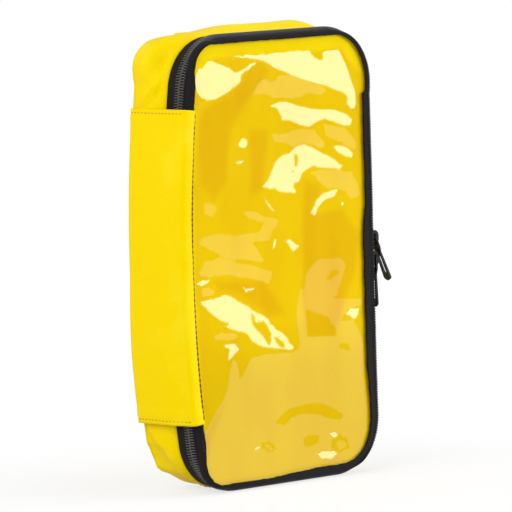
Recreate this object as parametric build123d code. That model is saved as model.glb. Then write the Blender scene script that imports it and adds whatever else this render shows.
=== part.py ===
from build123d import *
import math
import os

# Ampoule holder: a zipped, book-style case of coated tarpaulin with a clear window over its front.
# It stands on a short end: +Z is up, +X is right seen from the front, and the front faces -Y.
# The origin is on the surface it stands on, midway across its width and its depth.
# A depth is measured back from the front panel's outer face.
# A growth is measured outwards from the wall that carries the zip.

# Case
case_width = 134.0
case_height = 240.0
case_depth = 40.0
corner_radius = 28.0
front_edge_radius = 3.0
tarpaulin = 0.8
vinyl_thickness = 0.4
panel_inset = 5.0

# Spine panel, the hinge fabric on the left
spine_length = 164.0
spine_bow = 4.9
spine_thickness = 1.0
spine_hem = 9.0
hem_build = 0.5
flap_reach = 3.0
flap_gap = 0.1

# Zip: a coil zip, half of it on the lid and half on the body
tape_thickness = 0.8
tape_width = 14.7
tape_lap = 4.0
tape_seam = 1.0
zip_tuck = 10.0
coil_height = 2.0
coil_width = 2.7
coil_slit = 1.0
coil_depth = 3.6

# Sliders, which meet nose to nose halfway up the right side
slider_length = 11.0
slider_gap = 0.2
slider_plate = 1.0
slider_flange = 0.8
slider_corner = 1.4
post_length = 3.0
post_thickness = 0.7
crown_length = 8.0
crown_width = 1.8
crown_corner = 3.0
crown_foot = 2.0
crown_hole = 3.0
crown_hole_length = 4.8
crown_wall = 2.0

# Pull tabs
pull_length = 26.3
pull_thickness = 1.2
pull_bar = 1.8
pull_arm = 1.2
pull_eye_length = 3.6
pull_shoulder = 3.0
pull_neck = 3.4
pull_tip = 4.8
pull_slot_width = 1.8
pull_slot_length = 11.0
pull_slot_inset = 4.3

# Padding, linings and seam bindings
lid_foam_thickness = 3.4
back_foam_thickness = 4.1
lining_thickness = 0.6
lid_lining_inset = 4.0
back_lining_inset = 1.2
binding_width = 4.6
binding_thickness = 0.6

# Gusset, whose belly is level with the outer face of the zip
gusset_thickness = 0.9
gusset_lap = 6.0
gusset_rise = 2.5
gusset_belly_end = 31.0
gusset_rear_growth = 0.2

# Elastic bands: two rows of large loops on the back, three rows of small ones on the lid
band_thickness = 0.8
band_width = 24.0
band_tab = 6.0
back_bore = 15.0
back_pitch = 21.0
back_loops = 5
back_row_inset = 75.0
lid_bore = 11.5
lid_pitch = 18.0
lid_loops = 6
lid_row_inset = 50.0

# Clearances
cloth_clearance = 0.3
running_clearance = 0.4

# Worked out from the sizes above: places across and up the case
right_wall = case_width / 2
mid_height = case_height / 2
far = 2 * case_height
spine_bottom = mid_height - spine_length / 2
spine_top = mid_height + spine_length / 2
zip_end_bottom = spine_bottom + zip_tuck
zip_end_top = spine_top - zip_tuck
bow_radius = (spine_length**2 / 4 + spine_bow**2) / (2 * spine_bow)
bow_centre = bow_radius - right_wall - spine_bow
spine_stand = coil_height + cloth_clearance
back_rows = {"lower": back_row_inset, "upper": case_height - back_row_inset}
lid_rows = {"lower": lid_row_inset, "middle": mid_height, "upper": case_height - lid_row_inset}

# Depths, from the front to the back
front = -case_depth / 2
flap_front = -flap_gap - tarpaulin
lid_lining_start = tarpaulin + lid_foam_thickness
lid_lining_end = lid_lining_start + lining_thickness
lid_coil_end = coil_depth + coil_width
body_coil_start = lid_coil_end + coil_slit
body_coil_end = body_coil_start + coil_width
body_tape_end = body_coil_start + tape_width
gusset_start = body_tape_end - gusset_lap
back_panel_start = case_depth - tarpaulin
back_foam_start = back_panel_start - back_foam_thickness
back_lining_start = back_foam_start - lining_thickness

# Places of the sliders and their pulls
channel_outer = right_wall + coil_height + running_clearance
channel_inner = right_wall - tape_thickness - running_clearance
plate_outer = channel_outer + slider_plate
slider_front = front + coil_depth - running_clearance
slider_back = front + body_coil_end + running_clearance + slider_flange
slider_middle = (slider_front + slider_back) / 2
slit_middle = front + lid_coil_end + coil_slit / 2
crown_height = crown_foot + crown_hole + crown_wall
pivot_x = plate_outer + crown_foot + crown_hole / 2
slider_reach = (slider_length + slider_gap) / 2
slider_heights = {"lower": mid_height - 1 - slider_reach, "upper": mid_height - 1 + slider_reach}


def outline(growth):
    """Face inside the case's outline seen from the front, grown by an even margin."""
    top = case_height - coil_height + growth
    bottom = coil_height - growth
    right = right_wall + growth
    reach = bow_radius + growth
    left = bow_centre - math.sqrt(reach**2 - ((top - bottom) / 2) ** 2)
    straight = Polyline((left, top), (right, top), (right, bottom), (left, bottom))
    bowed = ThreePointArc((left, bottom), (bow_centre - reach, mid_height), (left, top))
    face = make_face([*straight.edges(), *bowed.edges()])
    return fillet(face.vertices(), corner_radius + growth)


def at_depth(face, depth):
    """A face drawn in X and Z, placed square to Y at a depth behind the front panel."""
    plane = Plane(origin=(0, front + depth, 0), x_dir=(1, 0, 0), z_dir=(0, -1, 0))
    return plane * face


def slab(face, near, deep):
    """A face given thickness from one depth to another."""
    return extrude(at_depth(face, near), amount=deep - near, dir=(0, 1, 0))


def ring(outer, inner, near, deep):
    """A band round the case between two growths, from one depth to another."""
    return slab(outline(outer) - outline(inner), near, deep)


def left_window(low, high):
    """Rectangle in X and Z that takes in the left wall between two heights."""
    edge = corner_radius / 2 - right_wall
    return Pos(edge - far / 2, (low + high) / 2) * Rectangle(far, high - low)


def along_left(part, low, high):
    """What lies on the left wall between two heights."""
    return part & slab(left_window(low, high), -far, far)


def open_at_spine(part):
    """A band with its left side cut away between the two hidden ends of the zip."""
    return part - slab(left_window(zip_end_bottom, zip_end_top), -far, far)


def tray(growth, near, deep, edge_radius):
    """A block with the case's outline, rounded round its front edge."""
    block = slab(outline(growth), near, deep)
    front_edges = block.faces().sort_by(Axis.Y)[0].edges()
    return fillet(front_edges, edge_radius)


def box_between(x_range, y_range, z_range):
    """A box between two values on each axis."""
    ranges = (x_range, y_range, z_range)
    sizes = [high - low for low, high in ranges]
    middle = [(high + low) / 2 for low, high in ranges]
    return Pos(*middle) * Box(*sizes)


# Shell of the body

def make_gusset():
    """Side wall of the body, bellied out between the zip tape and the back."""
    stations = [
        (gusset_start, gusset_thickness),
        (gusset_start + gusset_rise, coil_height),
        (gusset_belly_end, coil_height),
        (back_panel_start, gusset_rear_growth),
    ]
    outside = [at_depth(outline(growth), depth) for depth, growth in stations]
    inside = [at_depth(outline(growth - gusset_thickness), depth) for depth, growth in stations]
    wall = loft(outside, ruled=True) - loft(inside, ruled=True)
    return open_at_spine(wall)


def make_back_panel():
    """Rear wall, carried out on the left to the spine panel."""
    spine_side = outline(spine_stand) & left_window(spine_bottom, spine_top)
    return slab(outline(gusset_rear_growth) + spine_side, back_panel_start, case_depth)


def make_spine_panel():
    """Bowed hinge fabric over the ends of the zip, with a folded hem at each end."""
    start = flap_front + cloth_clearance
    outer = spine_stand + spine_thickness
    panel = along_left(ring(outer, spine_stand, start, case_depth), spine_bottom, spine_top)
    hem = ring(outer + hem_build, outer, start, case_depth)
    low_hem = along_left(hem, spine_bottom, spine_bottom + spine_hem)
    high_hem = along_left(hem, spine_top - spine_hem, spine_top)
    return panel + low_hem + high_hem


def make_spine_lining():
    """Lining of the spine between the hidden ends of the zip."""
    low = zip_end_bottom + cloth_clearance
    high = zip_end_top - cloth_clearance
    outer = spine_stand - cloth_clearance
    lining = ring(outer, outer - lining_thickness, body_coil_start, back_panel_start)
    return along_left(lining, low, high)


def make_body_tape():
    """Rear half of the zip tape, which runs under the edge of the gusset."""
    return open_at_spine(ring(0, -tape_thickness, body_coil_start, body_tape_end))


def make_body_coil():
    """Rear half of the coil, as a plain strip in its outer size."""
    return open_at_spine(ring(coil_height, 0, body_coil_start, body_coil_end))


# Shell of the lid

def make_lid_tape():
    """Front half of the zip tape: it turns over the front edge and laps under the panel."""
    skin = tray(0, 0, lid_coil_end, front_edge_radius)
    inner_radius = front_edge_radius - tape_thickness
    hollow = tray(-tape_thickness, tape_thickness, lid_coil_end, inner_radius)
    turned = skin - hollow - slab(outline(-panel_inset), 0, tape_thickness)
    lap_inset = panel_inset + tape_lap
    lap = ring(tape_seam - panel_inset, -lap_inset, tape_thickness, 2 * tape_thickness)
    return open_at_spine(turned + lap)


def make_lid_coil():
    """Front half of the coil, as a plain strip in its outer size."""
    return open_at_spine(ring(coil_height, 0, coil_depth, lid_coil_end))


def make_lid_panel():
    """Front panel, carried out under the spine's flap between the hidden ends of the zip."""
    low = zip_end_bottom + cloth_clearance
    high = zip_end_top - cloth_clearance
    hinge_side = outline(0) & left_window(low, high)
    return slab(outline(-panel_inset) + hinge_side, 0, tarpaulin)


def make_spine_flap():
    """Edge of the spine fabric that is turned on to the front and sewn down there."""
    flap = ring(coil_height, -flap_reach, flap_front, -flap_gap)
    return along_left(flap, spine_bottom, spine_top)


def make_window_sheet():
    """Clear vinyl over the whole front panel, up to the zip tape and the spine's flap."""
    low = zip_end_bottom + cloth_clearance
    high = zip_end_top - cloth_clearance
    hinge_side = outline(-flap_reach - cloth_clearance) & left_window(low, high)
    return slab(outline(-panel_inset - cloth_clearance) + hinge_side, -vinyl_thickness, 0)


# Padding and linings

def make_lid_foam():
    """Padding between the front panel and the lid's lining, inside the lap of the tape."""
    inset = panel_inset + tape_lap + cloth_clearance
    return slab(outline(-inset), tarpaulin, lid_lining_start)


def make_lid_lining():
    """Inner face of the lid."""
    return slab(outline(-lid_lining_inset), lid_lining_start, lid_lining_end)


def make_back_foam():
    """Padding between the back panel and its lining."""
    return slab(outline(-back_lining_inset), back_foam_start, back_panel_start)


def make_back_lining():
    """Inner face of the back."""
    return slab(outline(-back_lining_inset), back_lining_start, back_foam_start)


def make_lid_binding():
    """Tape sewn over the edge of the lid's lining."""
    inset = lid_lining_inset
    end = lid_lining_end + binding_thickness
    return ring(-inset, -inset - binding_width, lid_lining_end, end)


def make_back_binding():
    """Tape sewn over the edge of the back's lining."""
    inset = back_lining_inset
    start = back_lining_start - binding_thickness
    return ring(-inset, -inset - binding_width, start, back_lining_start)


# Elastic bands

def arch(centre, width, spring_height):
    """Half-round arch with straight sides, standing on the lining."""
    left = centre - width / 2
    right = centre + width / 2
    crown = (centre, spring_height + width / 2)
    sides = Polyline((left, spring_height), (left, 0), (right, 0), (right, spring_height))
    top = ThreePointArc((right, spring_height), crown, (left, spring_height))
    return make_face([*sides.edges(), *top.edges()])


def make_band(bore, count, pitch):
    """Elastic band sewn down between its loops, drawn in X and in height above the lining."""
    outer_width = bore + 2 * band_thickness
    span = (count - 1) * pitch + outer_width + 2 * band_tab
    centres = [(index - (count - 1) / 2) * pitch for index in range(count)]
    profile = Pos(0, band_thickness / 2) * Rectangle(span, band_thickness)
    for centre in centres:
        profile += arch(centre, outer_width, bore / 2)
    for centre in centres:
        profile -= arch(centre, bore, bore / 2)
    return extrude(profile, amount=band_width / 2, both=True)


def on_lid(shape, height):
    """A band put on the lid's lining, with its loops towards the back."""
    origin = (0, front + lid_lining_end, height)
    return Plane(origin=origin, x_dir=(1, 0, 0), z_dir=(0, 0, 1)) * shape


def on_back(shape, height):
    """A band put on the back's lining, with its loops towards the front."""
    origin = (0, front + back_lining_start, height)
    return Plane(origin=origin, x_dir=(-1, 0, 0), z_dir=(0, 0, 1)) * shape


# Sliders and pulls

def make_slider(height, nose):
    """Slider body: two plates joined by a post at the nose, and a flange behind the rear coil."""
    z_range = (height - slider_length / 2, height + slider_length / 2)
    y_range = (slider_front, slider_back)
    outer = box_between((channel_outer, plate_outer), y_range, z_range)
    inner = box_between((channel_inner - slider_plate, channel_inner), y_range, z_range)
    outer = fillet(outer.edges().filter_by(Axis.X), slider_corner)
    inner = fillet(inner.edges().filter_by(Axis.X), slider_corner)
    flange_z = (z_range[0] + slider_corner, z_range[1] - slider_corner)
    flange_y = (slider_back - slider_flange, slider_back)
    flange = box_between((right_wall + running_clearance, channel_outer), flange_y, flange_z)
    nose_end = height + nose * slider_length / 2
    post_z = sorted((nose_end, nose_end - nose * post_length))
    post_y = (slit_middle - post_thickness / 2, slit_middle + post_thickness / 2)
    post = box_between((channel_inner, channel_outer), post_y, post_z)
    return outer + inner + flange + post


def make_crown(height):
    """Arched crown on the slider's outer plate, with the hole that the pull's bar sits in."""
    plane = Plane(origin=(plate_outer, slider_middle, height), x_dir=(1, 0, 0), z_dir=(0, -1, 0))
    profile = Pos(crown_height / 2, 0) * Rectangle(crown_height, crown_length)
    profile = fillet(profile.vertices().sort_by(Axis.X)[-2:], crown_corner)
    hole = Pos(crown_foot + crown_hole / 2, 0) * SlotOverall(crown_hole_length, crown_hole, 90)
    return extrude(plane * (profile - hole), amount=crown_width / 2, both=True)


def make_pull():
    """Pull tab that hangs from its bar at the origin, flat across X."""
    eye_width = crown_width + 2 * running_clearance + 2 * pull_arm
    eye_bottom = pull_bar / 2 + pull_eye_length
    neck_top = eye_bottom + pull_arm
    neck_bottom = neck_top + pull_shoulder
    tip_centre = pull_length - pull_tip / 2
    eye_height = pull_bar / 2 + neck_top
    eye = Pos(0, pull_bar / 2 - eye_height / 2) * Rectangle(eye_width, eye_height)
    blade = make_face(Polyline(
        (-eye_width / 2, -neck_top),
        (-pull_neck / 2, -neck_bottom),
        (-pull_tip / 2, -tip_centre),
        (pull_tip / 2, -tip_centre),
        (pull_neck / 2, -neck_bottom),
        (eye_width / 2, -neck_top),
        close=True,
    ))
    tip = Pos(0, -tip_centre) * Circle(pull_tip / 2)
    window_width = crown_width + 2 * running_clearance
    window = Pos(0, -(pull_bar / 2 + eye_bottom) / 2) * Rectangle(window_width, pull_eye_length)
    slot_centre = pull_length - pull_slot_inset - pull_slot_length / 2
    slot = Pos(0, -slot_centre) * SlotOverall(pull_slot_length, pull_slot_width, 90)
    profile = eye + blade + tip - window - slot
    return extrude(Plane.YZ * profile, amount=pull_thickness / 2, both=True)


def hung(pull, height, swing):
    """A pull hung in the crown at a height, swung out from the vertical by an angle."""
    return Pos(pivot_x, slider_middle, height) * Rot(0, -swing, 0) * pull


def lean_of_upper_pull():
    """Angle at which the upper pull rests against the rounded end of the lower crown."""
    corner_x = plate_outer + crown_height - crown_corner - pivot_x
    corner_drop = 2 * slider_reach - crown_length / 2 + crown_corner
    needed = crown_corner + cloth_clearance + pull_thickness / 2
    distance = math.hypot(corner_x, corner_drop)
    return math.degrees(math.asin(needed / distance) + math.atan2(corner_x, corner_drop))


nodes = {
    "gusset": make_gusset(),
    "back_panel": make_back_panel(),
    "spine_panel": make_spine_panel(),
    "spine_lining": make_spine_lining(),
    "body_zip_tape": make_body_tape(),
    "body_zip_coil": make_body_coil(),
    "back_foam": make_back_foam(),
    "back_lining": make_back_lining(),
    "back_seam_binding": make_back_binding(),
    "lid_panel": make_lid_panel(),
    "spine_flap": make_spine_flap(),
    "window_sheet": make_window_sheet(),
    "lid_zip_tape": make_lid_tape(),
    "lid_zip_coil": make_lid_coil(),
    "lid_foam": make_lid_foam(),
    "lid_lining": make_lid_lining(),
    "lid_seam_binding": make_lid_binding(),
}

for row, height in back_rows.items():
    nodes["back_elastic_" + row] = on_back(make_band(back_bore, back_loops, back_pitch), height)

for row, height in lid_rows.items():
    nodes["lid_elastic_" + row] = on_lid(make_band(lid_bore, lid_loops, lid_pitch), height)

noses = {"lower": 1, "upper": -1}
swings = {"lower": 0, "upper": lean_of_upper_pull()}
for place, height in slider_heights.items():
    nodes["slider_body_" + place] = make_slider(height, noses[place])
    nodes["slider_crown_" + place] = make_crown(height)
    nodes["slider_pull_" + place] = hung(make_pull(), height, swings[place])

os.makedirs("parts", exist_ok=True)
for name, shape in nodes.items():
    export_step(shape, "parts/" + name + ".step")

hinge_x = -right_wall - spine_bow - coil_height
print("lid hinge at x", round(hinge_x, 2), "y", round(front + flap_front, 2))
print("pull pivots at x", round(pivot_x, 2), "y", round(slider_middle, 2))
print("slider heights", slider_heights, "upper pull leans", round(swings["upper"], 2))
print("right side straight from", corner_radius + coil_height, "up")
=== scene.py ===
# %% [markdown]
# # Ampoule holder
# A zipped, book-style case of yellow coated tarpaulin. A clear vinyl film covers its front, a black
# coil zip runs round three of its sides, and a wide spine panel is its hinge.
# The CAD model gives every size. This script loads it as a fixed frame, and then dresses each part
# of the frame with cloth, film, thread and teeth that look like the real ones.

# %% Load the frame
import bpy
import math
import numpy as np
from mathutils import Matrix, Vector, noise


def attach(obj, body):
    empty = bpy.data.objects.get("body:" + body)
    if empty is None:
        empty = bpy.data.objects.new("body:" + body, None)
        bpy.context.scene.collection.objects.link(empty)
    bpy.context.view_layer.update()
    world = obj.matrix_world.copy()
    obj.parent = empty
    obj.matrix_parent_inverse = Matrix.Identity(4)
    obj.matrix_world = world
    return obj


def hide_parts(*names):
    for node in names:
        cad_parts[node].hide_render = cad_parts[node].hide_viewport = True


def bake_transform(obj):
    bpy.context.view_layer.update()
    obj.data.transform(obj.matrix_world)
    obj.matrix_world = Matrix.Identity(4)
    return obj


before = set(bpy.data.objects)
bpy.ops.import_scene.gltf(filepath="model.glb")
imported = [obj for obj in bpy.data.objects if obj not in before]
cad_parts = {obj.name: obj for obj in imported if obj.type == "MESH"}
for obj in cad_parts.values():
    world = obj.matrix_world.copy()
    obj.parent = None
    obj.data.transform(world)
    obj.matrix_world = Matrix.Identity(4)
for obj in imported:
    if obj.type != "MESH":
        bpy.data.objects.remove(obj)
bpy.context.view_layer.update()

# %% [markdown]
# ## Camera
# The photographer stood to the left of the case and a little above it, far away with a long lens,
# so its edges stay almost parallel. The distance and the lens were found by matching the corners
# of the case, and the small roll is how the photograph leans.

# %% Camera
image_width = 512
camera_yaw = math.radians(44.4)
camera_pitch = math.radians(4.9)
camera_roll = math.radians(-1.68)
camera_distance = 2.875
focal_pixels = 5424
aim = Vector((-0.001, 0.001, 0.1201))

towards = Vector((-math.sin(camera_yaw) * math.cos(camera_pitch),
                  -math.cos(camera_yaw) * math.cos(camera_pitch),
                  math.sin(camera_pitch)))
level_right = Vector((math.cos(camera_yaw), -math.sin(camera_yaw), 0))
level_up = towards.cross(level_right)
right = level_right * math.cos(camera_roll) + level_up * math.sin(camera_roll)
up = level_up * math.cos(camera_roll) - level_right * math.sin(camera_roll)

lens = bpy.data.cameras.new("camera")
lens.sensor_width = 36
lens.lens = lens.sensor_width * focal_pixels / image_width
lens.clip_start = 0.05
lens.clip_end = 60
camera = bpy.data.objects.new("camera", lens)
camera.matrix_world = (Matrix.Translation(aim + towards * camera_distance)
                       @ Matrix((right, up, towards)).transposed().to_4x4())
bpy.context.scene.collection.objects.link(camera)
bpy.context.scene.camera = camera
print("lens", round(lens.lens), "mm")

# %% [markdown]
# ## Shader maths as expressions
# A node tree is easier to read as a formula. `Value` wraps a socket, and each sum or product of
# values adds the node that works it out: Math for numbers, Vector Math for vectors and Mix for
# colours, because a Math node would turn a colour grey.

# %% A socket that can be added and multiplied
class Value:
    """A socket of a finish, for use in expressions."""

    def __init__(self, finish, socket):
        self.finish = finish
        self.socket = socket

    def combined(self, operation, first, second):
        """The node that works out one operation on two values, or on a value and a number."""
        pair = (first, second)
        kinds = {part.socket.type for part in pair if isinstance(part, Value)}
        if "RGBA" in kinds:
            colours = [part if isinstance(part, Value) else (part, part, part, 1) for part in pair]
            settings = {"data_type": "RGBA", "blend_type": operation}
            inputs = {0: 1.0, 6: colours[0], 7: colours[1]}
            return self.finish.node("ShaderNodeMix", settings, inputs, output=2)
        kind = "ShaderNodeVectorMath" if "VECTOR" in kinds else "ShaderNodeMath"
        return self.finish.node(kind, {"operation": operation}, {0: first, 1: second})

    def __add__(self, other):
        return self.combined("ADD", self, other)

    def __radd__(self, other):
        return self.combined("ADD", other, self)

    def __sub__(self, other):
        return self.combined("SUBTRACT", self, other)

    def __mul__(self, other):
        return self.combined("MULTIPLY", self, other)

    def __rmul__(self, other):
        return self.combined("MULTIPLY", other, self)

    def __pow__(self, other):
        return self.combined("POWER", self, other)


# %% A finish, and one method for any node
wave_unit = 0.314  # pitch of a wave texture at scale 1


class Finish:
    """A material made of nodes round one Principled shader."""

    def __init__(self, name, **constants):
        self.material = bpy.data.materials.new(name)
        self.material.use_nodes = True
        self.tree = self.material.node_tree
        self.shader = self.tree.nodes["Principled BSDF"]
        for socket, value in constants.items():
            self.shader.inputs[socket.replace("_", " ")].default_value = value

    def node(self, kind, settings=None, inputs=None, output=0):
        """Adds a node: first its settings, then the values or links of its sockets."""
        made = self.tree.nodes.new(kind)
        for setting, value in (settings or {}).items():
            setattr(made, setting, value)
        for socket, value in (inputs or {}).items():
            self.feed(made.inputs[socket], value)
        return Value(self, made.outputs[output])

    def feed(self, socket, value):
        """Links a value to a socket, or sets a number there."""
        if isinstance(value, Value):
            self.tree.links.new(value.socket, socket)
        else:
            socket.default_value = value

    def set(self, socket, value):
        """Drives one socket of the shader."""
        self.feed(self.shader.inputs[socket], value)

    def place(self):
        """Position on the piece, in metres."""
        return self.node("ShaderNodeTexCoord", output="Object")

    def cloth_place(self):
        """Position along and across the cloth, in metres."""
        return self.node("ShaderNodeTexCoord", output="UV")

    def speckle(self, where, size, detail=2.0, roughness=0.5):
        """Soft noise of a given size in metres, from 0 to 1."""
        return self.node("ShaderNodeTexNoise", {}, {"Vector": where, "Scale": 1 / size, "Detail": detail,
                                                     "Roughness": roughness})

    def ribs(self, where, pitch, direction="X"):
        """Parallel ridges with a given pitch in metres, from 0 to 1."""
        settings = {"wave_type": "BANDS", "bands_direction": direction, "wave_profile": "SIN"}
        return self.node("ShaderNodeTexWave", settings, {"Vector": where, "Scale": wave_unit / pitch})

    def between(self, factor, low, high):
        """A colour between two."""
        return self.node("ShaderNodeMix", {"data_type": "RGBA"}, {0: factor, 6: low, 7: high}, output=2)

    def step_at(self, value, low, high):
        """Rises from 0 to 1 as a value goes from low to high."""
        inputs = {"Value": value, "From Min": low, "From Max": high, "To Min": 0.0, "To Max": 1.0}
        return self.node("ShaderNodeMapRange", {"interpolation_type": "SMOOTHSTEP"}, inputs)

    def bump(self, height, depth, facing=None):
        """Gives the shader fine relief: height from 0 to 1, depth in metres."""
        inputs = {"Height": height, "Distance": depth, "Strength": 1.0}
        if facing is not None:
            inputs["Normal"] = facing
        self.set("Normal", self.node("ShaderNodeBump", {}, inputs))

    def seen(self):
        """1 for rays from the camera, from reflections or through clear things, and 0 for others."""
        camera, glossy, passing = (self.node("ShaderNodeLightPath", output=kind)
                                   for kind in ("Is Camera Ray", "Is Glossy Ray", "Is Transmission Ray"))
        either = camera.combined("MAXIMUM", camera, glossy)
        return camera.combined("MAXIMUM", either, passing)

    def shaded(self):
        """What the Principled shader gives."""
        return Value(self, self.shader.outputs[0])

    def show(self, result, output="Material Output"):
        """Makes a result the one that is seen."""
        self.feed(self.tree.nodes[output].inputs["Surface"], result)


def linear(red, green, blue):
    """A colour as an image editor shows it, 0 to 255, turned into shader values."""
    shown = [channel / 255 for channel in (red, green, blue)]
    return (*[((part + 0.055) / 1.055) ** 2.4 if part > 0.04 else part / 12.92 for part in shown], 1.0)


print("yellow as shader values", [round(part, 3) for part in linear(255, 224, 0)])

# %% [markdown]
# ## Tarpaulin
# The shell is polyester cloth under a coating of yellow PVC. The coating is matt to satin, the
# weave of the cloth just shows through as a fine square grain, and handling leaves faint broad
# creases and slightly paler rubbed places. A weave drawn with two sets of ribs and broken up by
# noise gives that grain with no picture file.

# %% Tarpaulin
sheen_colour = (1.0, 0.86, 0.12, 1.0)
grain_size = 0.0018
thread_pitch = 0.0009


def tarpaulin_finish():
    """Coated yellow cloth."""
    finish = Finish("tarpaulin", Specular_IOR_Level=0.15, Specular_Tint=sheen_colour)
    place = finish.place()
    fine = finish.speckle(place, grain_size, 2.0, 0.6)
    rubbed = finish.step_at(finish.speckle(place, 0.035, 3.0, 0.55), 0.5, 0.75)
    finish.set("Base Color", finish.between(rubbed, linear(255, 222, 0), linear(255, 228, 24)))
    finish.set("Roughness", 0.5 + 0.14 * fine - 0.06 * rubbed)
    weave = finish.ribs(place, thread_pitch, "Z") * 0.5 + finish.ribs(place, thread_pitch, "DIAGONAL") * 0.3
    creases = finish.speckle(place, 0.012, 4.0, 0.6)
    finish.bump(weave * 0.12 + fine * 0.25 + creases * 0.9, 0.0005)
    return finish.material


def covered_finish():
    """The same cloth under the film, with painted shade and light: darker in listed places and in vertical
    streaks where folds of the film and panel shade it, lighter in others, and darker towards the bottom.
    """
    finish = Finish("covered_tarpaulin", Specular_IOR_Level=0.05, Specular_Tint=sheen_colour)
    place = finish.place()
    # painted shade: vertical streaks of darker colour where the panel and film fold
    drawn_down = finish.node("ShaderNodeMapping", {}, {"Vector": place, "Scale": (1.0, 1.0, 0.35)})
    painted_fold_shade = finish.step_at(finish.speckle(drawn_down, 0.02, 3.0, 0.5), 0.4, 0.65)
    # painted shade: an attribute that is 1 where the cloth is painted darker and 0 where it is painted
    # lighter
    painted_shade_share = finish.node("ShaderNodeAttribute", {"attribute_name": "painted_shade_share"}, output="Fac")
    # the colour runs from the cloth's own yellow to a darker yellow that is painted shade
    cloth = finish.between(painted_shade_share * 0.85 + painted_fold_shade * 0.15, linear(255, 226, 0), linear(237, 186, 4))
    # painted shade: the panel is darker towards the bottom, below 10 cm
    height = finish.node("ShaderNodeSeparateXYZ", {}, {"Vector": place}, output="Z")
    finish.set("Base Color", cloth * (0.86 + 0.14 * finish.step_at(height, 0.05, 0.1)))
    grain = finish.speckle(place, grain_size, 2.0, 0.6)
    finish.set("Roughness", 0.5 + 0.14 * grain)
    finish.bump(grain, 0.0001)
    return finish.material


tarpaulin = tarpaulin_finish()
covered_tarpaulin = covered_finish()
print("tarpaulin finishes made")

# %% [markdown]
# ## Clear vinyl
# The window is a soft, glossy film. Light goes straight through it and only its surface is seen, so
# the shader mixes a see-through part with a mirror. A film seen squarely reflects about a twentieth
# of the light, and more when seen at a slant, by the fifth power of the slant. The Fresnel node
# isn't used, because light that leaves through the back of a single sheet would be trapped by it.
# The bright patches in the photograph are reflections of a lamp, and the pale ones of the room, in
# places where the film tilts. The attribute called tilt gives that lean at each point of the film.

# %% Clear vinyl
def vinyl_finish():
    """Glossy clear film with faint scuffs."""
    finish = Finish("clear_vinyl", Metallic=1.0)
    finish.set("Base Color", (1, 1, 1, 1))
    place = finish.place()
    scuffs = finish.speckle(place, 0.006, 5.0, 0.65)
    finish.set("Roughness", 0.02 + 0.05 * scuffs)
    tilt = finish.node("ShaderNodeAttribute", {"attribute_name": "tilt"}, output="Vector")
    spaces = {"vector_type": "VECTOR", "convert_from": "OBJECT", "convert_to": "WORLD"}
    leaning = (finish.node("ShaderNodeNewGeometry", output="Normal")
               + finish.node("ShaderNodeVectorTransform", spaces, {"Vector": tilt}))
    facing = finish.node("ShaderNodeVectorMath", {"operation": "NORMALIZE"}, {0: leaning})
    finish.bump(finish.speckle(place, 0.011, 2.0, 0.5), 0.00004, facing)
    slant = finish.node("ShaderNodeLayerWeight", {}, {"Blend": 0.5}, output="Facing")
    mirror = 0.05 + 0.95 * slant**5
    clear = finish.node("ShaderNodeBsdfTransparent", {}, {"Color": (1, 1, 1, 1)})
    finish.show(finish.node("ShaderNodeMixShader", {}, {0: mirror, 1: clear, 2: finish.shaded()}))
    return finish.material


clear_vinyl = vinyl_finish()
print("vinyl made")

# %% [markdown]
# ## Black textiles and the zip
# The zip tape is a dense herringbone weave, the elastic is knitted in ribs, the lining is plain
# nylon and the binding is a ribbed tape. Each takes its pattern from the place along and across
# the cloth, so that the ribs follow the piece round its corners.

# %% Woven and knitted finishes
def woven_finish(name, colour, pitch, depth, across_share=0.6):
    """Matt cloth with ribs along and across it."""
    finish = Finish(name, Specular_IOR_Level=0.15)
    place = finish.cloth_place()
    along = finish.ribs(place, pitch, "X")
    across = finish.ribs(place, pitch * 0.8, "Y")
    fluff = finish.speckle(finish.place(), 0.0006, 3.0, 0.7)
    relief = along * (1 - across_share) + across * across_share
    dark = tuple(0.55 * part for part in colour[:3]) + (1,)
    pale = tuple(min(1, 1.6 * part) for part in colour[:3]) + (1,)
    finish.set("Base Color", finish.between(relief * 0.7 + fluff * 0.3, dark, pale))
    finish.set("Roughness", 0.7 + 0.2 * fluff)
    finish.bump(relief * 0.8 + fluff * 0.4, depth)
    return finish.material


zip_tape = woven_finish("zip_tape", linear(26, 23, 25), 0.0009, 0.0002)
lining = woven_finish("lining", linear(44, 43, 47), 0.0006, 0.00012)
seam_binding = woven_finish("seam_binding", linear(34, 33, 37), 0.0012, 0.0003)
elastic = woven_finish("elastic", linear(36, 35, 39), 0.0016, 0.0004, 0.25)
print("woven finishes made")

# %% Coil, slider metal, foam and thread
def coil_finish():
    """Black nylon wire of the zip's teeth."""
    finish = Finish("zip_coil", Specular_IOR_Level=0.85)
    haze = finish.speckle(finish.place(), 0.0015, 3.0, 0.6)
    finish.set("Base Color", finish.between(haze, linear(40, 37, 38), linear(72, 69, 70)))
    finish.set("Roughness", 0.28 + 0.15 * haze)
    finish.bump(haze, 0.00005)
    return finish.material


def slider_finish():
    """Satin black paint on zinc, a little worn."""
    finish = Finish("slider_metal", Specular_IOR_Level=0.2)
    place = finish.place()
    haze = finish.speckle(place, 0.003, 4.0, 0.6)
    wear = finish.step_at(finish.speckle(place, 0.0011, 5.0, 0.7), 0.66, 0.72)
    finish.set("Base Color", finish.between(wear, linear(20, 20, 23), linear(80, 78, 80)))
    finish.set("Metallic", 0.5 * wear)
    finish.set("Roughness", 0.42 + 0.16 * haze)
    finish.bump(haze, 0.00006)
    return finish.material


def foam_finish():
    """Closed-cell foam."""
    finish = Finish("foam", Specular_IOR_Level=0.2)
    cells = finish.node("ShaderNodeTexVoronoi", {}, {"Vector": finish.place(), "Scale": 900.0})
    finish.set("Base Color", finish.between(cells, linear(198, 196, 190), linear(228, 226, 220)))
    finish.set("Roughness", 0.85 + 0.1 * cells)
    finish.bump(cells, 0.0002)
    return finish.material


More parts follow.
